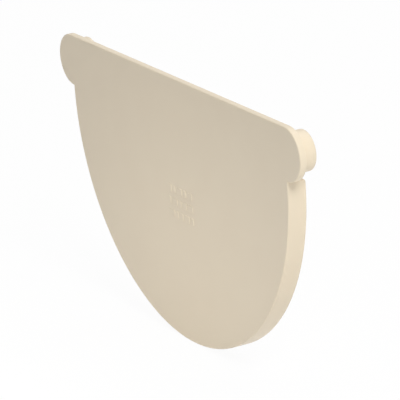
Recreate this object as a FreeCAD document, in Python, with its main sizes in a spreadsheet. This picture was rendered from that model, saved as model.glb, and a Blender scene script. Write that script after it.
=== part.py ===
import FreeCAD, Part
import math
import os
import Sketcher

# Stop end of a half-round rainwater gutter, injection-moulded in one piece of rigid PVC.
# Frame: X runs across the gutter, Y runs along the gutter away from the plate, Z is up.
# The origin is on the axis of the half-round, in the plane where the cut end of the gutter lands.
# All lengths are in millimetres.

document = FreeCAD.newDocument("gutter_end_cap")

# Driving dimensions
sheet = document.addObject("Spreadsheet::Sheet", "Sizes")
size_rows = [
    # the gutter that the cap closes
    ("gutter_radius", 62.5, "outside radius of the half-round"),
    ("gutter_wall", 1.7, "wall of the gutter"),
    ("bead_radius", 8.1, "outside radius of the rolled bead along each edge"),
    ("bead_wall", 1.8, "wall of the bead"),
    ("bead_shift", 1.9, "from the outside of the gutter's wall out to the centre of a bead"),
    ("flank", 1.5, "straight side of the gutter, from the level of its axis up to the bead"),
    # clearances for the glue
    ("rim_gap", 0.1, "between the gutter and the inside of the rim"),
    ("plug_gap", 0.2, "between a plug and the hollow of the bead"),
    ("bead_gap", 0.3, "between the bead and the upper end of the rim"),
    ("rib_gap", 0.3, "between the inside of the gutter and the locating rib"),
    # the cap
    ("plate_thickness", 2.1, "flat plate"),
    ("rim_wall", 1.8, "rim round the outside of the gutter"),
    ("rim_height", 4.0, "from the seat to the free edge of the rim"),
    ("rim_corner", 1.0, "rounding of the free corner at each upper end of the rim"),
    ("plug_length", 4.7, "from the seat to the free end of a plug"),
    ("plug_wall", 1.7, "wall of the hollow plug"),
    ("plug_lead", 0.6, "bevel that leads a plug into the bead"),
    ("plug_mouth", 0.3, "bevel at the mouth of the plug's hollow"),
    ("core_bevel", 0.6, "bevel round the bottom of the plug's hollow"),
    ("rib_wall", 1.4, "locating rib inside the gutter"),
    ("rib_height", 2.4, "from the seat to the top of the rib"),
    ("rib_end", 3.6, "from the axis down to the centre of each rounded end of the rib"),
    ("rib_bevel", 0.35, "bevel along the top of the rib"),
    ("edge_round", 0.4, "outer edge of the face and of the rim"),
    ("back_bevel", 0.2, "edge of the back along the top and the ears"),
    ("lead_in", 0.5, "bevel inside the free edge of the rim"),
]
for row, (alias, value, meaning) in enumerate(size_rows, start=1):
    sheet.set("A%d" % row, alias)
    sheet.set("B%d" % row, str(value))
    sheet.set("C%d" % row, meaning)
    sheet.setAlias("B%d" % row, alias)
document.recompute()


def size(alias):
    return float(sheet.get(alias))


# Radii and levels that follow from the driving dimensions
rim_inside = "(Sizes.gutter_radius + Sizes.rim_gap)"
rim_outside = "(Sizes.gutter_radius + Sizes.rim_gap + Sizes.rim_wall)"
rib_outside = "(Sizes.gutter_radius - Sizes.gutter_wall - Sizes.rib_gap)"
rib_inside = "(Sizes.gutter_radius - Sizes.gutter_wall - Sizes.rib_gap - Sizes.rib_wall)"
plug_radius = "(Sizes.bead_radius - Sizes.bead_wall - Sizes.plug_gap)"
bead_offset = "(Sizes.gutter_radius + Sizes.bead_shift)"
bead_level = "(Sizes.flank + Sizes.bead_radius)"
top_level = "(Sizes.flank + 2 * Sizes.bead_radius)"
rim_top = "(Sizes.flank - Sizes.bead_gap)"

R_RIM_IN = size("gutter_radius") + size("rim_gap")
R_RIM_OUT = R_RIM_IN + size("rim_wall")
R_RIB_OUT = size("gutter_radius") - size("gutter_wall") - size("rib_gap")
R_RIB_IN = R_RIB_OUT - size("rib_wall")
R_PLUG = size("bead_radius") - size("bead_wall") - size("plug_gap")
X_BEAD = size("gutter_radius") + size("bead_shift")
Z_BEAD = size("flank") + size("bead_radius")
Z_TOP = Z_BEAD + size("bead_radius")
Z_RIM_TOP = size("flank") - size("bead_gap")

body = document.addObject("PartDesign::Body", "end_cap")
body.Label = "end_cap"
body.Placement = FreeCAD.Placement()


def origin_plane(role):
    return [item for item in body.Origin.OriginFeatures if item.Role == role][0]


def point(x, z):
    return FreeCAD.Vector(x, z, 0)


def line(x_a, z_a, x_b, z_b):
    return Part.LineSegment(point(x_a, z_a), point(x_b, z_b))


def arc(x, z, radius, start, end):
    circle = Part.Circle(point(x, z), FreeCAD.Vector(0, 0, 1), radius)
    return Part.ArcOfCircle(circle, start, end)


def new_sketch(name):
    sketch = body.newObject("Sketcher::SketchObject", name)
    sketch.AttachmentSupport = [(origin_plane("XZ_Plane"), "")]
    sketch.MapMode = "FlatFace"
    return sketch


def fix(sketch, *description):
    return sketch.addConstraint(Sketcher.Constraint(*description))


def drive(sketch, name, expression, *description):
    index = fix(sketch, *description)
    sketch.renameConstraint(index, name)
    sketch.setExpression("Constraints." + name, expression)


def pad(name, sketch, length, backwards):
    feature = body.newObject("PartDesign::Pad", name)
    feature.Profile = sketch
    feature.setExpression("Length", length)
    feature.Reversed = backwards
    sketch.Visibility = False
    return feature


START, END, CENTRE = range(1, 4)
HORIZONTAL_AXIS, VERTICAL_AXIS = range(-1, -3, -1)
ORIGIN = (HORIZONTAL_AXIS, START)

# Outline of the plate: straight top edge, an ear over each bead, and the half-round between them
notch_angle = math.acos((R_RIM_OUT - X_BEAD) / size("bead_radius"))
z_notch = Z_BEAD - size("bead_radius") * math.sin(notch_angle)
outline = new_sketch("PlateOutline")
top = outline.addGeometry(line(-X_BEAD, Z_TOP, X_BEAD, Z_TOP), False)
ear_right = outline.addGeometry(arc(X_BEAD, Z_BEAD, size("bead_radius"), -notch_angle, math.pi / 2), False)
ear_left = outline.addGeometry(
    arc(-X_BEAD, Z_BEAD, size("bead_radius"), math.pi / 2, math.pi + notch_angle), False)
side_right = outline.addGeometry(line(R_RIM_OUT, z_notch, R_RIM_OUT, 0), False)
side_left = outline.addGeometry(line(-R_RIM_OUT, z_notch, -R_RIM_OUT, 0), False)
round_body = outline.addGeometry(arc(0, 0, R_RIM_OUT, math.pi, 2 * math.pi), False)
fix(outline, "Tangent", top, END, ear_right, END)
fix(outline, "Tangent", top, START, ear_left, START)
fix(outline, "Coincident", ear_right, START, side_right, START)
fix(outline, "Coincident", ear_left, END, side_left, START)
fix(outline, "Tangent", side_right, END, round_body, END)
fix(outline, "Tangent", side_left, END, round_body, START)
fix(outline, "Coincident", round_body, CENTRE, *ORIGIN)
fix(outline, "Vertical", side_right)
fix(outline, "Vertical", side_left)
fix(outline, "Symmetric", top, START, top, END, VERTICAL_AXIS)
fix(outline, "Equal", ear_left, ear_right)
drive(outline, "BodyRadius", rim_outside, "Radius", round_body, R_RIM_OUT)
drive(outline, "EarRadius", "Sizes.bead_radius", "Radius", ear_right, size("bead_radius"))
drive(outline, "EarOffset", bead_offset, "DistanceX", *ORIGIN, ear_right, CENTRE, X_BEAD)
drive(outline, "TopLevel", top_level, "DistanceY", *ORIGIN, top, END, Z_TOP)
plate = pad("Plate", outline, "Sizes.plate_thickness", False)

# Rim: a band along the half-round that the gutter slides into, up to just below the beads
band = new_sketch("RimBand")
outer = band.addGeometry(arc(0, 0, R_RIM_OUT, math.pi, 2 * math.pi), False)
inner = band.addGeometry(arc(0, 0, R_RIM_IN, math.pi, 2 * math.pi), False)
fix(band, "Coincident", outer, CENTRE, *ORIGIN)
fix(band, "Coincident", inner, CENTRE, *ORIGIN)
for side, arc_end in ((1, END), (-1, START)):
    outer_side = band.addGeometry(line(side * R_RIM_OUT, 0, side * R_RIM_OUT, Z_RIM_TOP), False)
    inner_side = band.addGeometry(line(side * R_RIM_IN, 0, side * R_RIM_IN, Z_RIM_TOP), False)
    upper_end = band.addGeometry(line(side * R_RIM_OUT, Z_RIM_TOP, side * R_RIM_IN, Z_RIM_TOP), False)
    fix(band, "Tangent", outer_side, START, outer, arc_end)
    fix(band, "Tangent", inner_side, START, inner, arc_end)
    fix(band, "Coincident", outer_side, END, upper_end, START)
    fix(band, "Coincident", inner_side, END, upper_end, END)
    fix(band, "Vertical", outer_side)
    fix(band, "Vertical", inner_side)
    fix(band, "Horizontal", upper_end)
    drive(band, "TopRight" if side > 0 else "TopLeft", rim_top,
          "DistanceY", *ORIGIN, upper_end, START, Z_RIM_TOP)
drive(band, "OuterRadius", rim_outside, "Radius", outer, R_RIM_OUT)
drive(band, "InnerRadius", rim_inside, "Radius", inner, R_RIM_IN)
rim = pad("Rim", band, "Sizes.rim_height", True)

# Locating rib: a low curved rib inside the gutter, which with the rim makes the groove for the glue
rib_middle = (R_RIB_OUT + R_RIB_IN) / 2
rib_half = (R_RIB_OUT - R_RIB_IN) / 2
rib_x = math.sqrt(rib_middle ** 2 - size("rib_end") ** 2)
rib_angle = math.asin(size("rib_end") / rib_middle)
slot = new_sketch("RibSlot")
rib_outer = slot.addGeometry(arc(0, 0, R_RIB_OUT, math.pi + rib_angle, 2 * math.pi - rib_angle), False)
rib_inner = slot.addGeometry(arc(0, 0, R_RIB_IN, math.pi + rib_angle, 2 * math.pi - rib_angle), False)
end_right = slot.addGeometry(
    arc(rib_x, -size("rib_end"), rib_half, -rib_angle, math.pi - rib_angle), False)
end_left = slot.addGeometry(
    arc(-rib_x, -size("rib_end"), rib_half, rib_angle, math.pi + rib_angle), False)
fix(slot, "Coincident", rib_outer, CENTRE, *ORIGIN)
fix(slot, "Coincident", rib_inner, CENTRE, *ORIGIN)
fix(slot, "Tangent", rib_outer, END, end_right, START)
fix(slot, "Tangent", rib_inner, END, end_right, END)
fix(slot, "Tangent", rib_outer, START, end_left, END)
fix(slot, "Tangent", rib_inner, START, end_left, START)
drive(slot, "RibOutside", rib_outside, "Radius", rib_outer, R_RIB_OUT)
drive(slot, "RibInside", rib_inside, "Radius", rib_inner, R_RIB_IN)
drive(slot, "RibEndRight", "Sizes.rib_end", "DistanceY", end_right, CENTRE, *ORIGIN, size("rib_end"))
drive(slot, "RibEndLeft", "Sizes.rib_end", "DistanceY", end_left, CENTRE, *ORIGIN, size("rib_end"))
rib = pad("Rib", slot, "Sizes.rib_height", True)

# Plug: a short hollow cylinder that fills the hollow of the bead, one on each ear
plug_section = new_sketch("PlugSection")
plug_wall_outside = plug_section.addGeometry(
    Part.Circle(point(X_BEAD, Z_BEAD), FreeCAD.Vector(0, 0, 1), R_PLUG), False)
plug_wall_inside = plug_section.addGeometry(
    Part.Circle(point(X_BEAD, Z_BEAD), FreeCAD.Vector(0, 0, 1), R_PLUG - size("plug_wall")), False)
fix(plug_section, "Coincident", plug_wall_outside, CENTRE, plug_wall_inside, CENTRE)
drive(plug_section, "PlugRadius", plug_radius, "Radius", plug_wall_outside, R_PLUG)
drive(plug_section, "CoreRadius", plug_radius + " - Sizes.plug_wall",
      "Radius", plug_wall_inside, R_PLUG - size("plug_wall"))
drive(plug_section, "PlugOffset", bead_offset, "DistanceX", *ORIGIN, plug_wall_outside, CENTRE, X_BEAD)
drive(plug_section, "PlugLevel", bead_level, "DistanceY", *ORIGIN, plug_wall_outside, CENTRE, Z_BEAD)
plug = pad("Plug", plug_section, "Sizes.plug_length", True)
document.recompute()

both_plugs = body.newObject("PartDesign::Mirrored", "BothPlugs")
both_plugs.Originals = [plug]
both_plugs.MirrorPlane = (origin_plane("YZ_Plane"), [""])
body.Tip = both_plugs
document.recompute()


# Roundings and bevels
TOLERANCE = 1e-4


def level(edge, y):
    box = edge.BoundBox
    return abs(box.YMin - y) < TOLERANCE and abs(box.YMax - y) < TOLERANCE


def is_round_about(edge, x, z, radius):
    curve = edge.Curve
    if curve.TypeId != "Part::GeomCircle":
        return False
    offset = math.hypot(curve.Center.x - x, curve.Center.z - z)
    return abs(curve.Radius - radius) < TOLERANCE and offset < TOLERANCE


def on_plug(edge, radius):
    return is_round_about(edge, X_BEAD, Z_BEAD, radius) or is_round_about(edge, -X_BEAD, Z_BEAD, radius)


def dress(kind, name, amount, sizes, chosen):
    base = body.Tip
    names = ["Edge%d" % (i + 1) for i, edge in enumerate(base.Shape.Edges) if chosen(edge)]
    if not names:
        raise RuntimeError(name + " finds no edge")
    feature = body.newObject("PartDesign::" + kind, name)
    feature.Base = (base, names)
    feature.setExpression(amount, sizes)
    body.Tip = feature
    base.Visibility = False
    document.recompute()
    return feature


y_face = -size("plate_thickness")
y_seat = 0.0
y_rim = size("rim_height")
y_rib = size("rib_height")
y_plug = size("plug_length")


def along_wall(edge, x, radius):
    box = edge.BoundBox
    straight = edge.Curve.TypeId == "Part::GeomLine"
    upright = abs(box.XMin - box.XMax) < TOLERANCE and abs(abs(box.XMin) - x) < TOLERANCE
    return (straight and upright) or is_round_about(edge, 0, 0, radius)


def on_rib(edge):
    middle = edge.valueAt((edge.FirstParameter + edge.LastParameter) / 2)
    reach = math.hypot(middle.x, middle.z)
    return R_RIB_IN - TOLERANCE < reach < R_RIB_OUT + TOLERANCE


# free corner at each upper end of the rim
dress("Fillet", "RimCorners", "Radius", "Sizes.rim_corner",
      lambda e: level(e, y_rim) and e.BoundBox.ZMin > Z_RIM_TOP - TOLERANCE and e.BoundBox.ZMax < Z_BEAD)
# outline of the face
dress("Fillet", "FaceEdge", "Radius", "Sizes.edge_round",
      lambda e: level(e, y_face))
# free edge of the rim, outside and inside
dress("Fillet", "RimEdge", "Radius", "Sizes.edge_round",
      lambda e: level(e, y_rim) and along_wall(e, R_RIM_OUT, R_RIM_OUT))
dress("Chamfer", "RimLeadIn", "Size", "Sizes.lead_in",
      lambda e: level(e, y_rim) and along_wall(e, R_RIM_IN, R_RIM_IN))
# back of the straight top edge and of the ears
dress("Chamfer", "BackEdge", "Size", "Sizes.back_bevel",
      lambda e: level(e, y_seat) and (abs(e.BoundBox.ZMin - Z_TOP) < TOLERANCE
                                      or is_round_about(e, X_BEAD, Z_BEAD, size("bead_radius"))
                                      or is_round_about(e, -X_BEAD, Z_BEAD, size("bead_radius"))))
# top of the locating rib
dress("Chamfer", "RibTop", "Size", "Sizes.rib_bevel",
      lambda e: level(e, y_rib) and on_rib(e))
# free end and core of each plug
dress("Chamfer", "PlugLead", "Size", "Sizes.plug_lead",
      lambda e: level(e, y_plug) and on_plug(e, R_PLUG))
dress("Chamfer", "PlugMouth", "Size", "Sizes.plug_mouth",
      lambda e: level(e, y_plug) and on_plug(e, R_PLUG - size("plug_wall")))
dress("Chamfer", "PlugCore", "Size", "Sizes.core_bevel",
      lambda e: level(e, y_seat) and on_plug(e, R_PLUG - size("plug_wall")))

document.recompute()
faults = [item.Name for item in document.Objects
          if "Invalid" in item.State or "Error" in item.State]
if faults:
    raise RuntimeError("failed objects: " + ", ".join(faults))
if body.Shape.isNull() or not body.Shape.isValid():
    raise RuntimeError("end_cap has no valid shape")

os.makedirs("parts", exist_ok=True)
body.Shape.exportStep(os.path.join("parts", body.Label + ".step"))

box = body.Shape.BoundBox
print("end_cap", "solids", len(body.Shape.Solids), "faces", len(body.Shape.Faces))
print("box x %.2f %.2f y %.2f %.2f z %.2f %.2f" % (box.XMin, box.XMax, box.YMin, box.YMax, box.ZMin, box.ZMax))
print("volume %.1f mm3" % body.Shape.Volume)
for sketch in (outline, band, slot, plug_section):
    print(sketch.Name, "fully constrained", sketch.FullyConstrained)
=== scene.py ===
# %% [markdown]
# # A gutter end cap, modelled and lit
# The object is the stop end of a half-round rainwater gutter. It is one piece of sand-coloured rigid
# plastic, shaped in an injection mould: a flat plate with a round ear at each upper corner, a rim round
# its curved edge that slips over the gutter, and a short hollow plug behind each ear that fills the
# rolled bead of the gutter. This lesson draws its outline, raises its walls, rounds its edges as a mould
# does, and gives it a satin finish. Run the cells from top to bottom: most of them print what they made.

# %% Load the frame
import math
import bmesh
import bpy
from mathutils import Matrix, Vector


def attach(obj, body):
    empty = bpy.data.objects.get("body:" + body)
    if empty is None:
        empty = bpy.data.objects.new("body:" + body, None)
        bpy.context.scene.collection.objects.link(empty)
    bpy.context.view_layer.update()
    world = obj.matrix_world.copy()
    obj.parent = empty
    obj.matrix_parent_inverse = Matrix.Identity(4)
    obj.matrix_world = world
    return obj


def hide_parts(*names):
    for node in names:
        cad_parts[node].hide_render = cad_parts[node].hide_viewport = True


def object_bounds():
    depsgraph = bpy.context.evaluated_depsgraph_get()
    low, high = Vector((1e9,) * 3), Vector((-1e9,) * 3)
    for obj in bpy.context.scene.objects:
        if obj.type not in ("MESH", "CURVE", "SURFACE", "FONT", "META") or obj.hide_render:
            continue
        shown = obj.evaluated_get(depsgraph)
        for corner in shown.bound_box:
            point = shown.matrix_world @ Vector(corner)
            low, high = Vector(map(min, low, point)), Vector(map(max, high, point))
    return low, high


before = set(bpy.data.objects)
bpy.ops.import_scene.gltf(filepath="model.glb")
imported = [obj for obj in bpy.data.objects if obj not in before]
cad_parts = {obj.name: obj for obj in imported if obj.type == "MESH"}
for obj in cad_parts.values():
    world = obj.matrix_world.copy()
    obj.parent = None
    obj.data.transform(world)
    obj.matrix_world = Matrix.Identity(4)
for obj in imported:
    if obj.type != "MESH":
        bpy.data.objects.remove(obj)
cad_low, cad_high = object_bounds()
MM = 0.001
print("measured body, mm:", [round((high - low) / MM, 2) for low, high in zip(cad_low, cad_high)])

# %% [markdown]
# ## Helpers for working by hand, in code
# An operator in Blender acts on whatever is selected, and the frame arrives with its own parts selected.
# So before each step we clear the selection and say which object we work on. In edit mode we then choose
# points, edges or faces with a test on their place, which stands in for clicking on them. A modifier is
# put on and applied at once, so that the mesh we see is the mesh we go on with.

# %% Choosing and applying
NEAR = 0.01 * MM


def only(piece):
    """Makes a piece the one selected and active object."""
    bpy.ops.object.select_all(action="DESELECT")
    piece.select_set(True)
    bpy.context.view_layer.objects.active = piece


def edit(piece):
    """Opens a piece for editing."""
    only(piece)
    bpy.ops.object.mode_set(mode="EDIT")


def close():
    """Goes back to object mode."""
    bpy.ops.object.mode_set(mode="OBJECT")


def pick(piece, kind, test):
    """Selects the verts, edges or faces of the open mesh that pass a test, and returns their number."""
    bpy.ops.mesh.select_mode(type={"verts": "VERT", "edges": "EDGE", "faces": "FACE"}[kind])
    bpy.ops.mesh.select_all(action="DESELECT")
    mesh = bmesh.from_edit_mesh(piece.data)
    chosen = [element for element in getattr(mesh, kind) if test(element)]
    for element in chosen:
        element.select_set(True)
    mesh.select_flush_mode()
    bmesh.update_edit_mesh(piece.data)
    return len(chosen)


def shape(piece, kind, **settings):
    """Puts a modifier on a piece, sets it and applies it."""
    only(piece)
    modifier = piece.modifiers.new(kind.title(), kind)
    for name, value in settings.items():
        setattr(modifier, name, value)
    bpy.ops.object.modifier_apply(modifier=modifier.name)


def same(a, b):
    """True for two numbers that differ by next to nothing."""
    return abs(a - b) < NEAR


print("places count as the same within", round(NEAR / MM, 3), "mm")

# %% [markdown]
# ## The outline
# A moulding like this starts as a flat drawing, and so does the mesh. A circle cut in half gives the
# curved edge. Its two ends are pulled up to where the ears begin, in two steps, because the rim will stop
# a little lower than the ears do. Each ear is half a circle as well. A union of whole discs would also
# give this outline, but it leaves slivers where the curves touch. Drawing the line once keeps every point
# where it is wanted, and one large face then fills it.

# %% Draw the outline of the plate
BODY_RADIUS = 64.4 * MM
RIM_TOP = 1.2 * MM
EAR_BOTTOM = 1.5 * MM
EAR_RADIUS = 8.1 * MM
EAR_X = BODY_RADIUS
EAR_Z = EAR_BOTTOM + EAR_RADIUS
TOP = EAR_BOTTOM + 2 * EAR_RADIUS
PLATE = 2.1 * MM
BODY_STEPS = 256
EAR_STEPS = 96
STANDING = (math.pi / 2, 0, 0)

bpy.ops.object.select_all(action="DESELECT")
bpy.ops.mesh.primitive_circle_add(
    vertices=BODY_STEPS, radius=BODY_RADIUS, location=(0, -PLATE, 0), rotation=STANDING)
cap = bpy.context.object
cap.name = "moulded_cap"
cap.data.name = "moulded_cap"
bpy.ops.object.transform_apply(location=True, rotation=True, scale=True)
edit(cap)
bpy.ops.mesh.select_all(action="SELECT")
bpy.ops.mesh.bisect(plane_co=(0, 0, 0), plane_no=(0, 0, 1), clear_outer=True)
for level, rise in ((0, RIM_TOP), (RIM_TOP, EAR_BOTTOM - RIM_TOP)):
    pick(cap, "verts", lambda vert: same(vert.co.z, level))
    bpy.ops.mesh.extrude_vertices_move(TRANSFORM_OT_translate={"value": (0, 0, rise)})

for side in (1, -1):
    bpy.ops.mesh.select_all(action="DESELECT")
    bpy.ops.mesh.primitive_circle_add(
        vertices=EAR_STEPS, radius=EAR_RADIUS, location=(side * EAR_X, -PLATE, EAR_Z), rotation=STANDING)
    bpy.ops.mesh.bisect(plane_co=(side * EAR_X, 0, 0), plane_no=(-side, 0, 0), clear_outer=True)

bpy.ops.mesh.select_all(action="SELECT")
bpy.ops.mesh.remove_doubles(threshold=NEAR)
pick(cap, "verts", lambda vert: same(vert.co.z, TOP))
bpy.ops.mesh.edge_face_add()
bpy.ops.mesh.select_all(action="SELECT")
bpy.ops.mesh.edge_face_add()
close()
print("outline:", len(cap.data.vertices), "points,", len(cap.data.polygons), "face")

# %% [markdown]
# ## Plate, rim and rib
# Extruding the drawing by the thickness of the wall gives the plate. On its back, an inset by the
# thickness of the rim lays out a ring of small faces along the edge, and extruding only the ones on the
# curve raises the rim. Two more insets lay out the groove for the glue and the low rib inside it. The
# walls stay even all the way round, which is what a mould maker wants too, because an even wall cools
# without warping.

# %% Raise the plate, its rim and its rib
RIM_WALL = 1.8 * MM
RIM_HEIGHT = 4.0 * MM
GROOVE = 2.1 * MM
RIB_WALL = 1.4 * MM
RIB_HEIGHT = 2.4 * MM
RIB_TOP = -2.6 * MM
RIM_INSIDE = BODY_RADIUS - RIM_WALL
RIB_OUTSIDE = RIM_INSIDE - GROOVE
RIB_INSIDE = RIB_OUTSIDE - RIB_WALL


def reach(point):
    """Distance from the axis of the half-round or, above the axis, from the middle plane."""
    return math.hypot(point.x, min(point.z, 0))


def on_seat(face, inside, outside, top):
    """True for a face on the back of the plate, between two reaches and below a level."""
    spot = face.calc_center_median()
    return same(spot.y, 0) and inside < reach(spot) < outside and spot.z < top


edit(cap)
bpy.ops.mesh.select_all(action="SELECT")
bpy.ops.mesh.extrude_region_move(TRANSFORM_OT_translate={"value": (0, PLATE, 0)})
pick(cap, "faces", lambda face: same(face.calc_center_median().y, 0))
for band in (RIM_WALL, GROOVE, RIB_WALL):
    bpy.ops.mesh.inset(thickness=band, depth=0)
rim_faces = pick(cap, "faces", lambda face: on_seat(face, RIM_INSIDE, BODY_RADIUS, RIM_TOP))
bpy.ops.mesh.extrude_region_move(TRANSFORM_OT_translate={"value": (0, RIM_HEIGHT, 0)})
rib_faces = pick(cap, "faces", lambda face: on_seat(face, RIB_INSIDE, RIB_OUTSIDE, RIB_TOP))
bpy.ops.mesh.extrude_region_move(TRANSFORM_OT_translate={"value": (0, RIB_HEIGHT, 0)})
bpy.ops.mesh.select_all(action="SELECT")
bpy.ops.mesh.normals_make_consistent(inside=False)
close()
print("rim raised from", rim_faces, "faces and rib from", rib_faces)

# %% [markdown]
# ## Soft edges
# No edge of a moulding is quite sharp, and the thin bright lines along its edges are what make it look
# real. We bevel them one family at a time, beginning with the large corners. Each family is chosen by its
# place and by how strongly its two faces bend: a positive angle is an outer corner, a negative one an
# inner corner, and zero is a line on a flat face. The insets left such flat lines on the back, and a
# bevel follows them where it should keep its width. So the ones round the ears and the ends of the rib
# are dissolved first.

# %% Tell the edges apart
SHARP = math.radians(40)


def bend(edge):
    """Angle between the two faces of an edge, positive on an outer corner."""
    return edge.calc_face_angle_signed(0)


def middle(edge):
    """The point half-way along an edge."""
    return (edge.verts[0].co + edge.verts[1].co) / 2


def is_level(edge, level):
    """True for an edge that keeps one distance from the seat."""
    return all(same(vert.co.y, level) for vert in edge.verts)


def is_upright(edge, height):
    """True for an edge that climbs by a height, away from the plate."""
    return same(abs(edge.verts[0].co.y - edge.verts[1].co.y), height)


def wall_edge(edge, radius):
    """True for an outer corner that runs along a wall of the half-round, clear of the seat."""
    on_wall = all(same(reach(vert.co), radius) and vert.co.z < RIM_TOP + NEAR for vert in edge.verts)
    return on_wall and bend(edge) > SHARP and middle(edge).y > NEAR


def on_rib(edge):
    """True for an edge within the thickness and the length of the rib."""
    return RIB_INSIDE - NEAR < reach(middle(edge)) < RIB_OUTSIDE + NEAR and middle(edge).z < RIB_TOP


print("edges to choose from:", len(cap.data.edges))

# %% Round the outer edges
RIM_CORNER = 1.0 * MM
EDGE_ROUND = 0.4 * MM
LEAD_IN = 0.5 * MM
RIB_BEVEL = 0.35 * MM
BACK_BEVEL = 0.2 * MM
PLAIN_SEAT = -5.5 * MM
CORNER_STEPS = 6
EDGE_STEPS = 4
FINE_STEPS = 3


def soften(name, width, steps, test):
    """Bevels the edges that pass a test."""
    count = pick(cap, "edges", test)
    bpy.ops.mesh.bevel(offset=width, segments=steps, affect="EDGES", clamp_overlap=False)
    print(name, count, "edges")


edit(cap)
pick(cap, "edges", lambda edge: is_level(edge, 0) and same(bend(edge), 0) and middle(edge).z > PLAIN_SEAT)
bpy.ops.mesh.dissolve_edges(use_verts=True)
soften("corners at the upper ends of the rim:", RIM_CORNER, CORNER_STEPS,
       lambda edge: is_level(edge, RIM_HEIGHT) and all(same(vert.co.z, RIM_TOP) for vert in edge.verts))
soften("corners at the ends of the rib:", RIB_WALL / 2, CORNER_STEPS,
       lambda edge: on_rib(edge) and is_upright(edge, RIB_HEIGHT) and bend(edge) > SHARP)
bpy.ops.mesh.select_all(action="SELECT")
bpy.ops.mesh.remove_doubles(threshold=NEAR)
soften("outer edge of the rim:", EDGE_ROUND, EDGE_STEPS, lambda edge: wall_edge(edge, BODY_RADIUS))
soften("inner edge of the rim:", LEAD_IN, EDGE_STEPS, lambda edge: wall_edge(edge, RIM_INSIDE))
soften("top of the rib:", RIB_BEVEL, FINE_STEPS,
       lambda edge: on_rib(edge) and is_level(edge, RIB_HEIGHT) and bend(edge) > SHARP)
soften("outline of the face:", EDGE_ROUND, EDGE_STEPS,
       lambda edge: is_level(edge, -PLATE) and bend(edge) > SHARP)
soften("back of the top edge and the ears:", BACK_BEVEL, FINE_STEPS,
       lambda edge: is_level(edge, 0) and bend(edge) > SHARP and middle(edge).z > EAR_BOTTOM - NEAR)
close()

# %% [markdown]
# The inner corners get a small radius as well. A mould is milled with a round cutter, and a sharp inner
# corner would also be where the plastic cracks first.

# %% Fill the inner corners
ROOT_ROUND = 0.2 * MM

edit(cap)
soften("roots of the walls on the seat:", ROOT_ROUND, FINE_STEPS,
       lambda edge: is_level(edge, 0) and bend(edge) < -SHARP
       and abs(middle(edge).x) < BODY_RADIUS - EDGE_ROUND)
close()

# %% [markdown]
# ## The plugs
# Behind each ear stands a short tube that fills the hollow bead of the gutter. It is hollow because a
# thick stub of plastic would shrink and leave a dent in the face. A tube is a turned shape, so we draw
# the section of its wall once, with a foot that lies just inside the plate, round its four corners, and
# spin it about the axis of the ear. The copy for the other side is only moved, because a turned shape
# looks the same both ways. Two exact unions then make one skin of the three.

# %% Draw the section of the plug's wall
PLUG_RADIUS = 6.1 * MM
PLUG_WALL = 1.7 * MM
PLUG_LENGTH = 4.7 * MM
PLUG_LEAD = 0.6 * MM
PLUG_MOUTH = 0.3 * MM
PLUG_ROOT = 0.6 * MM
CORE_ROUND = 0.6 * MM
FOOT_REACH = 0.9 * MM
FOOT_TOP = -0.005 * MM
FOOT_BOTTOM = -0.9 * MM
core_radius = PLUG_RADIUS - PLUG_WALL
outer_x = EAR_X + PLUG_RADIUS
core_x = EAR_X + core_radius


def on_line(edge, x):
    """True for an edge of the section that runs along the plug at one distance across."""
    return all(same(vert.co.x, x) for vert in edge.verts)


bpy.ops.object.select_all(action="DESELECT")
bpy.ops.mesh.primitive_plane_add(
    size=1, location=(EAR_X + PLUG_RADIUS - PLUG_WALL / 2, (PLUG_LENGTH + FOOT_BOTTOM) / 2, EAR_Z))
plug = bpy.context.object
plug.scale = (PLUG_WALL, PLUG_LENGTH - FOOT_BOTTOM, 1)
bpy.ops.object.transform_apply(location=True, rotation=True, scale=True)
edit(plug)
bpy.ops.mesh.select_all(action="SELECT")
bpy.ops.mesh.bisect(plane_co=(0, FOOT_TOP, 0), plane_no=(0, 1, 0))
for side_x, step in ((outer_x, FOOT_REACH), (core_x, -FOOT_REACH)):
    pick(plug, "edges", lambda edge: on_line(edge, side_x) and middle(edge).y < 0)
    bpy.ops.mesh.extrude_edges_move(TRANSFORM_OT_translate={"value": (step, 0, 0)})
bpy.ops.mesh.select_all(action="SELECT")
bpy.ops.mesh.dissolve_faces()
for corner_x, corner_y, width in ((outer_x, PLUG_LENGTH, PLUG_LEAD), (core_x, PLUG_LENGTH, PLUG_MOUTH),
                                  (outer_x, FOOT_TOP, PLUG_ROOT), (core_x, FOOT_TOP, CORE_ROUND)):
    pick(plug, "verts", lambda vert: same(vert.co.x, corner_x) and same(vert.co.y, corner_y))
    bpy.ops.mesh.bevel(offset=width, segments=EDGE_STEPS, affect="VERTICES")
close()
print("section of the wall:", len(plug.data.vertices), "points,", len(plug.data.polygons), "face")

# %% Spin it and join the plugs to the plate
PLUG_STEPS = 96
SPIN_SEAM = 0.1 * NEAR


def combine(tool, operation):
    """Joins a tool to the cap, or cuts it out of the cap, and takes the tool away."""
    shape(cap, "BOOLEAN", object=tool, operation=operation, solver="EXACT")
    bpy.data.objects.remove(tool)


edit(plug)
bpy.ops.mesh.select_all(action="SELECT")
bpy.ops.mesh.delete(type="ONLY_FACE")
bpy.ops.mesh.select_all(action="SELECT")
bpy.ops.mesh.spin(steps=PLUG_STEPS, angle=2 * math.pi, center=(EAR_X, 0, EAR_Z), axis=(0, 1, 0))
bpy.ops.mesh.select_all(action="SELECT")
bpy.ops.mesh.remove_doubles(threshold=SPIN_SEAM)
bpy.ops.mesh.normals_make_consistent(inside=False)
close()
only(plug)
bpy.ops.object.duplicate()
other_plug = bpy.context.object
bpy.ops.transform.translate(value=(-2 * EAR_X, 0, 0))
bpy.ops.object.transform_apply(location=True, rotation=True, scale=True)
combine(plug, "UNION")
combine(other_plug, "UNION")
print("one skin with", len(cap.data.polygons), "faces")

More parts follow.
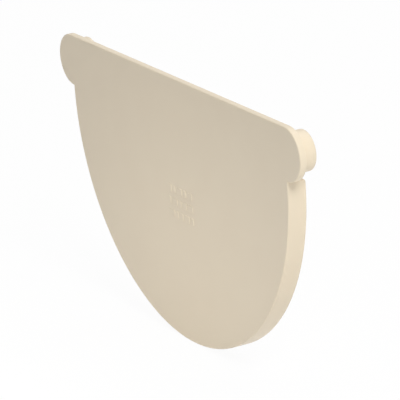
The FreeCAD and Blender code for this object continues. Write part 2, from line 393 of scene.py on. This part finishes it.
# %% [markdown]
# ## A relief in the face
# Below the middle of the top edge such a moulding carries a small patch of relief, which the mould maker
# engraves in the steel, so it stands up from the plastic. Here it is three rows of plain blocks, a
# seventh of a millimetre high. We add one block after another to a single mesh in edit mode, round their
# corners, slope their walls so that the plastic would slip out of the mould, and join them all to the
# face with one exact union.

# %% Raise the rows of blocks
RELIEF_LEFT = -7.6 * MM
RELIEF_TOP = -16.2 * MM
RELIEF_HEIGHT = 0.14 * MM
RELIEF_SLOPE = 0.13 * MM
RELIEF_ROOT = 0.8 * MM
RELIEF_CORNER = 0.3 * MM
BLOCK_HEIGHT = 2.3 * MM
ROW_STEP = 3.9 * MM
BLOCK_GAP = 0.9 * MM
ROWS = ((2.3, 1.3, 3.2, 1.3, 2.9), (1.5, 2.9, 1.5, 2.4, 2.7), (3.2, 1.3, 2.1, 2.9, 1.5))
relief_face = -PLATE - RELIEF_HEIGHT


def open_empty():
    """Adds an object with nothing in its mesh and opens it, so that primitives can be added to it."""
    bpy.ops.object.select_all(action="DESELECT")
    bpy.ops.mesh.primitive_cube_add(size=1)
    piece = bpy.context.object
    edit(piece)
    bpy.ops.mesh.select_all(action="SELECT")
    bpy.ops.mesh.delete(type="VERT")
    return piece


blocks = open_empty()
for row, widths in enumerate(ROWS):
    left = RELIEF_LEFT
    level = RELIEF_TOP - BLOCK_HEIGHT / 2 - row * ROW_STEP
    for width_mm in widths:
        width = width_mm * MM
        bpy.ops.mesh.primitive_cube_add(
            size=1, location=(left + width / 2, relief_face + RELIEF_ROOT / 2, level),
            scale=(width, RELIEF_ROOT, BLOCK_HEIGHT))
        left += width + BLOCK_GAP
pick(blocks, "edges", lambda edge: is_upright(edge, RELIEF_ROOT))
bpy.ops.mesh.bevel(offset=RELIEF_CORNER, segments=FINE_STEPS, affect="EDGES")
pick(blocks, "edges", lambda edge: is_level(edge, relief_face) and bend(edge) > SHARP)
bpy.ops.mesh.bevel(offset=RELIEF_SLOPE, segments=1, affect="EDGES")
close()
combine(blocks, "UNION")
print("relief raised,", sum(len(widths) for widths in ROWS), "blocks")

# %% [markdown]
# ## Traces of the ejector pins
# When the mould opens, steel pins push the moulding out, and each leaves a faint round print on the
# hidden side. Such pins are spread over the whole back, most of them towards its walls, where the plastic
# grips the mould. The prints are all the same size, so one mesh holds a short cylinder at each place, one
# bevel slopes all their ends, and a single exact cut presses them all in.

# %% Press the pins into the back
PIN_RADIUS = 2.5 * MM
PIN_DEPTH = 0.08 * MM
PIN_SLOPE = 0.05 * MM
PIN_STEPS = 48
PIN_LENGTH = 1.0 * MM
PIN_PLACES = ((0, 8), (-46, 6), (46, 6), (-42, -30), (42, -30), (-16, -49.5), (16, -49.5))

pins = open_empty()
for pin_x, pin_z in PIN_PLACES:
    bpy.ops.mesh.primitive_cylinder_add(
        vertices=PIN_STEPS, radius=PIN_RADIUS, depth=PIN_LENGTH, rotation=STANDING,
        location=(pin_x * MM, PIN_LENGTH / 2 - PIN_DEPTH, pin_z * MM))
pick(pins, "edges", lambda edge: is_level(edge, -PIN_DEPTH))
bpy.ops.mesh.bevel(offset=PIN_SLOPE, segments=1, affect="EDGES")
close()
combine(pins, "DIFFERENCE")
print("pins pressed in:", len(PIN_PLACES))

# %% [markdown]
# ## Clean and smooth
# Unions and cuts leave lines across flat areas. A limited dissolve takes them out, and a merge makes
# sure that no two points lie in one place. Smooth shading is then broken only where two faces bend by
# more than 40 degrees, and normals weighted by the area of the faces keep the large faces flat, so that
# only the small rounds catch the light. The finished moulding takes the place of the measured one in
# the frame.

# %% Clean the mesh and smooth it
SAME_PLANE = math.radians(0.05)
SAME_POINT = 0.0005 * MM
AREA_WEIGHT = 100

edit(cap)
bpy.ops.mesh.select_all(action="SELECT")
bpy.ops.mesh.dissolve_limited(angle_limit=SAME_PLANE)
bpy.ops.mesh.select_all(action="SELECT")
bpy.ops.mesh.remove_doubles(threshold=SAME_POINT)
bpy.ops.mesh.normals_make_consistent(inside=False)
close()
only(cap)
bpy.ops.object.shade_smooth_by_angle(angle=SHARP)
shape(cap, "WEIGHTED_NORMAL", keep_sharp=True, weight=AREA_WEIGHT)
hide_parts("end_cap")
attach(cap, "root")
print("finished moulding:", len(cap.data.polygons), "faces")

# %% [markdown]
# ## A small language for materials
# A material in Blender is a graph of nodes. Building it node by node hides the idea, so we wrap a socket
# in a small class. Adding or multiplying two sockets then adds the Math node for it, and a number may
# stand on either side of the sign. Every other node comes from one method that takes its settings first
# and the values or links of its sockets after that.

# %% Sockets that can be added and multiplied
class Field:
    """A value that varies over a surface: the output socket of a node."""

    def __init__(self, tree, output=None):
        self.tree = tree
        self.output = output

    def node(self, kind, settings=None, values=None, output=0):
        """Adds a node, sets it, fills its sockets with values or links, and returns one of its outputs."""
        node = self.tree.nodes.new("ShaderNode" + kind)
        for name, value in (settings or {}).items():
            setattr(node, name, value)
        for name, value in (values or {}).items():
            if isinstance(value, Field):
                self.tree.links.new(value.output, node.inputs[name])
            else:
                node.inputs[name].default_value = value
        return Field(self.tree, node.outputs[output])

    def math(self, operation, a, b=0.0):
        """Adds a Math node for an operation on one value or two."""
        return self.node("Math", {"operation": operation}, {0: a, 1: b})

    def __add__(self, other):
        return self.math("ADD", self, other)

    def __mul__(self, other):
        return self.math("MULTIPLY", self, other)

    __radd__ = __add__
    __rmul__ = __mul__

    def cover(self, end):
        """Links this socket to the surface of an output node."""
        self.tree.links.new(self.output, end.inputs["Surface"])


BRIGHTEST = 255
CURVE_OFFSET = 0.055
CURVE_POWER = 2.4


def linear(red, green, blue):
    """Turns a colour of a drawing program, 0 to 255 and not nearly black, into the linear one of a node."""
    shares = [channel / BRIGHTEST for channel in (red, green, blue)]
    return (*[((share + CURVE_OFFSET) / (1 + CURVE_OFFSET)) ** CURVE_POWER for share in shares], 1)


def new_material(name):
    """Returns an empty material with a Field to build on, and its output node."""
    material = bpy.data.materials.new(name)
    material.use_nodes = True
    tree = material.node_tree
    tree.nodes.clear()
    return material, Field(tree), tree.nodes.new("ShaderNodeOutputMaterial")


print("a middle grey, linear:", [round(c, 3) for c in linear(128, 128, 128)])

# %% [markdown]
# ## Sand-coloured plastic
# Rigid PVC is coloured right through and comes out of a lightly frosted mould, so it has no paint, no
# grain and no hard reflections. What the eye still sees is a soft sheen, a very fine frost, and a faint
# unevenness where the melt spread out from the middle and cooled. The frost and a slight waviness are
# bump, because both are shallower than a tenth of a millimetre. The unevenness moves the colour and the
# roughness by a few parts in a hundred, in soft clouds and along faint rings round the middle of the
# back. The scale of a noise counts its patches per metre, and the rings lie 15 mm apart.

# %% Mix the plastic
SAND = linear(223, 208, 183)
SAND_PALE = linear(227, 214, 190)
CLOUDS = {"Scale": 45, "Detail": 3, "Roughness": 0.5}
CLOUD_TINT = 0.8
CLOUD_SHEEN = 0.06
RING_RATE = 420
RING_WANDER = 6
RING_TINT = 0.05
RING_SHEEN = 0.006
FROST = {"Scale": 3200, "Detail": 2, "Roughness": 0.6}
FROST_HEIGHT = 0.006 * MM
WAVES = {"Scale": 30, "Detail": 1, "Roughness": 0.4}
WAVE_HEIGHT = 0.05 * MM
ROUGHNESS = 0.42
REFRACTION = 1.53
# The Mix node has sockets of one name for numbers, vectors and colours, so those go by their place.
MIX_SHARE = 0
MIX_FIRST = 6
MIX_SECOND = 7
MIX_RESULT = 2

pvc, paint, surface_out = new_material("sand_pvc")
place = paint.node("TexCoord", output="Object")
clouds = paint.node("TexNoise", values={"Vector": place, **CLOUDS})
spread = paint.node("VectorMath", {"operation": "LENGTH"}, {0: place}, output="Value")
rings = paint.math("SINE", spread * RING_RATE + clouds * RING_WANDER)
flow = clouds * CLOUD_TINT + rings * RING_TINT
colour = paint.node("Mix", {"data_type": "RGBA"},
                    {MIX_SHARE: flow, MIX_FIRST: SAND, MIX_SECOND: SAND_PALE}, output=MIX_RESULT)
sheen = ROUGHNESS - CLOUD_SHEEN / 2 + clouds * CLOUD_SHEEN + rings * RING_SHEEN
frost = paint.node("TexNoise", values={"Vector": place, **FROST})
waves = paint.node("TexNoise", values={"Vector": place, **WAVES})
frosted = paint.node("Bump", values={"Strength": 1, "Distance": FROST_HEIGHT, "Height": frost})
wavy = paint.node("Bump", values={"Strength": 1, "Distance": WAVE_HEIGHT, "Height": waves,
                                  "Normal": frosted})
skin = paint.node("BsdfPrincipled", values={"Base Color": colour, "Roughness": sheen, "Normal": wavy,
                                            "IOR": REFRACTION})
skin.cover(surface_out)
cap.data.materials.clear()
cap.data.materials.append(pvc)
print("plastic made of", len(pvc.node_tree.nodes), "nodes, sand, linear:", [round(c, 3) for c in SAND])

# %% [markdown]
# ## Floor and background
# A plain white sheet reaches far behind the object. To the camera it mostly shines with a plain white of
# its own, so that it melts into the background, and a small share of it is real white paper, which keeps
# a faint shadow under the object. To the light it is all paper, so it throws a little light up on to the
# object, as a table does.

# %% Lay the floor
FLOOR_LEVEL = -BODY_RADIUS
FLOOR_SIZE = 7.0
PAPER = 0.9
WHITE = (1, 1, 1, 1)
SHOWN_WHITE = 0.95
SIGHT = ("Is Camera Ray", "Is Glossy Ray", "Is Transmission Ray")


def in_sight(ground):
    """A mask that is 1 for what the camera sees, be it straight, in a reflection or through glass."""
    straight, mirrored, through = [ground.node("LightPath", output=ray) for ray in SIGHT]
    return ground.math("MAXIMUM", ground.math("MAXIMUM", straight, mirrored), through)


bpy.ops.object.select_all(action="DESELECT")
bpy.ops.mesh.primitive_plane_add(size=FLOOR_SIZE, location=(0, 0, FLOOR_LEVEL))
floor = bpy.context.object
floor.name = "floor"
bpy.ops.object.transform_apply(location=True, rotation=True, scale=True)
sheet, ink, sheet_out = new_material("white_sheet")
shown = in_sight(ink)
paper = ink.node("BsdfDiffuse", values={"Color": (PAPER, PAPER, PAPER, 1)})
white = ink.node("Emission", values={"Color": WHITE, "Strength": 1})
both = ink.node("MixShader", values={0: shown * SHOWN_WHITE, 1: paper, 2: white})
both.cover(sheet_out)
floor.data.materials.append(sheet)
print("floor at", FLOOR_LEVEL / MM, "mm")

# %% [markdown]
# ## Light
# The object is lit as on a photographer's table. A white surround gives an even base, and a soft lamp
# high on the right makes the sides lighter than the face and lays a short shadow under the ear. A weaker
# lamp hangs above for the top edge, and another stands behind, so that the hidden side is clear too. Two
# small cards finish it: one low in front lifts the lower part of the face, and one low on the right lifts
# the part of the rim that turns towards the floor. All of them are white, so the plastic keeps its own
# colour.

# %% Light the surround
SURROUND = 0.248

world = bpy.data.worlds.new("surround")
bpy.context.scene.world = world
world.use_nodes = True
world.node_tree.nodes.clear()
air = Field(world.node_tree)
brightness = in_sight(air) * (1 - SURROUND) + SURROUND
glow = air.node("Background", values={"Color": WHITE, "Strength": brightness})
world_out = world.node_tree.nodes.new("ShaderNodeOutputWorld")
glow.cover(world_out)
print("surround gives", SURROUND, "of white to the object and all of it to the camera")

# %% Make and aim a lamp
def direction(azimuth, elevation):
    """Unit vector from the object towards a place, by degrees: azimuth 0 is in front, 90 at the right."""
    turn = math.radians(azimuth)
    lift = math.radians(elevation)
    return Vector((math.sin(turn) * math.cos(lift), -math.cos(turn) * math.cos(lift), math.sin(lift)))


def lamp(name, place, aim, width, height, power):
    """Adds a soft white rectangular lamp that looks from one point at another, unseen by the camera."""
    light = bpy.data.lights.new(name, "AREA")
    light.shape = "RECTANGLE"
    light.size = width
    light.size_y = height
    light.energy = power
    lamp_object = bpy.data.objects.new(name, light)
    bpy.context.scene.collection.objects.link(lamp_object)
    lamp_object.location = place
    lamp_object.rotation_euler = (place - aim).to_track_quat("Z", "Y").to_euler()
    lamp_object.visible_camera = False


print("half-way between front and right lies", [round(c, 2) for c in direction(45, 0)])

# %% Hang the lamps
CENTRE = (Vector(cad_low) + Vector(cad_high)) / 2
LOWER_FACE = Vector((8, 0, -48)) * MM
LOWER_RIM = Vector((50, 0, -50)) * MM
KEY_DISTANCE = 2.0
BACK_DISTANCE = 1.5
ABOVE = Vector((0, 0.3, 1.5))
IN_FRONT = Vector((0, -85, 5)) * MM
AT_THE_SIDE = Vector((250, 0, 30)) * MM
KEY_POWER = 24.8
TOP_POWER = 4.4
BACK_POWER = 4.3
FRONT_POWER = 0.018
SIDE_POWER = 0.066

key_place = CENTRE + direction(azimuth=80, elevation=45) * KEY_DISTANCE
back_place = CENTRE + direction(azimuth=205, elevation=40) * BACK_DISTANCE
lamp("key", key_place, CENTRE, width=0.6, height=0.6, power=KEY_POWER)
lamp("top", CENTRE + ABOVE, CENTRE, width=1.0, height=1.0, power=TOP_POWER)
lamp("back", back_place, CENTRE, width=0.7, height=0.7, power=BACK_POWER)
lamp("front_card", LOWER_FACE + IN_FRONT, LOWER_FACE, width=0.12, height=0.04, power=FRONT_POWER)
lamp("side_card", LOWER_RIM + AT_THE_SIDE, LOWER_RIM, width=0.25, height=0.08, power=SIDE_POWER)

# %% [markdown]
# ## Camera
# The photograph was taken from a little over a metre with a long lens: the two ends of the top edge are
# nearly the same size, so the picture is almost flat. The camera stands to the right of the object and a
# little above it, and it is tilted by a few degrees.

# %% Place the camera
LENS = 360
AZIMUTH = 61.847
ELEVATION = 17.934
ROLL = math.radians(-4.32)
DISTANCE = 1177.1 * MM
AIM = Vector((7.98 * MM, 0, -18.26 * MM))

towards = direction(AZIMUTH, ELEVATION)
level_right = (-towards).cross(Vector((0, 0, 1))).normalized()
level_up = level_right.cross(-towards)
right = math.cos(ROLL) * level_right + math.sin(ROLL) * level_up
up = -math.sin(ROLL) * level_right + math.cos(ROLL) * level_up
turned = Matrix((right, up, towards)).transposed().to_4x4()
camera = bpy.data.objects.new("camera", bpy.data.cameras.new("camera"))
bpy.context.scene.collection.objects.link(camera)
camera.data.lens = LENS
camera.matrix_world = Matrix.Translation(AIM + towards * DISTANCE) @ turned
bpy.context.scene.camera = camera
bpy.context.scene.view_settings.view_transform = "Standard"
print("camera at", [round(c / MM) for c in camera.matrix_world.translation], "mm")
